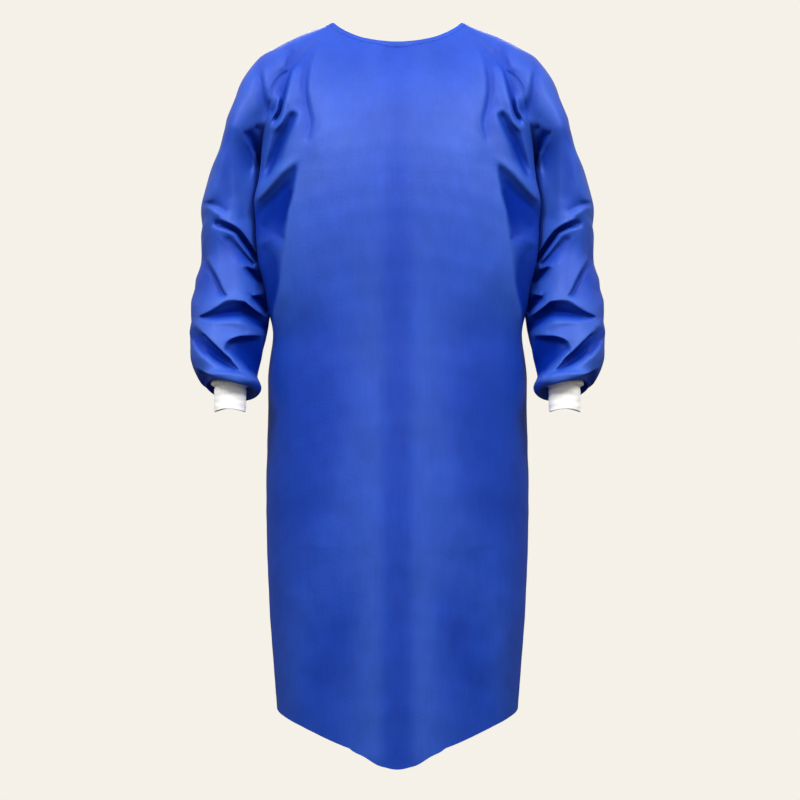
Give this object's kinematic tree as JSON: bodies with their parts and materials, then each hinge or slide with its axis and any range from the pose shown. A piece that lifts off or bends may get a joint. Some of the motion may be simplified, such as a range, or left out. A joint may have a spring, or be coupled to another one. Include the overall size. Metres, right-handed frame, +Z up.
{
  "type": "surgical gown",
  "caption": "Long-sleeved raglan surgical gown in its worn, hollow form, with knit cuffs, a bound neckline, and an overlapping back closed with ties.",
  "frame": {"origin": "middle of the shoulder line, between the two neck points, where the wearer's shoulders carry the gown", "axes": "+Z up along the gown, -Y to the front, +X to the wearer's left"},
  "size_m": [0.7172, 0.3258, 1.261],
  "materials": {
    "gown_cloth": "smooth matt to satin non-woven cloth, royal blue",
    "gown_binding": "the same cloth folded over the neck edge and stitched",
    "gown_tape": "narrow folded tape of the same cloth",
    "cuff_knit": "soft matt fine rib knit, white"
  },
  "bodies": {
    "root": {"front_panel": "gown_cloth", "back_panel_left": "gown_cloth", "back_panel_right": "gown_cloth", "sleeve_left": "gown_cloth", "sleeve_right": "gown_cloth", "neck_binding": "gown_binding", "cuff_left": "cuff_knit", "cuff_right": "cuff_knit", "neck_tie_left": "gown_tape", "neck_tie_right": "gown_tape", "waist_tie_left": "gown_tape", "waist_tie_right": "gown_tape"}
  },
  "joints": []
}
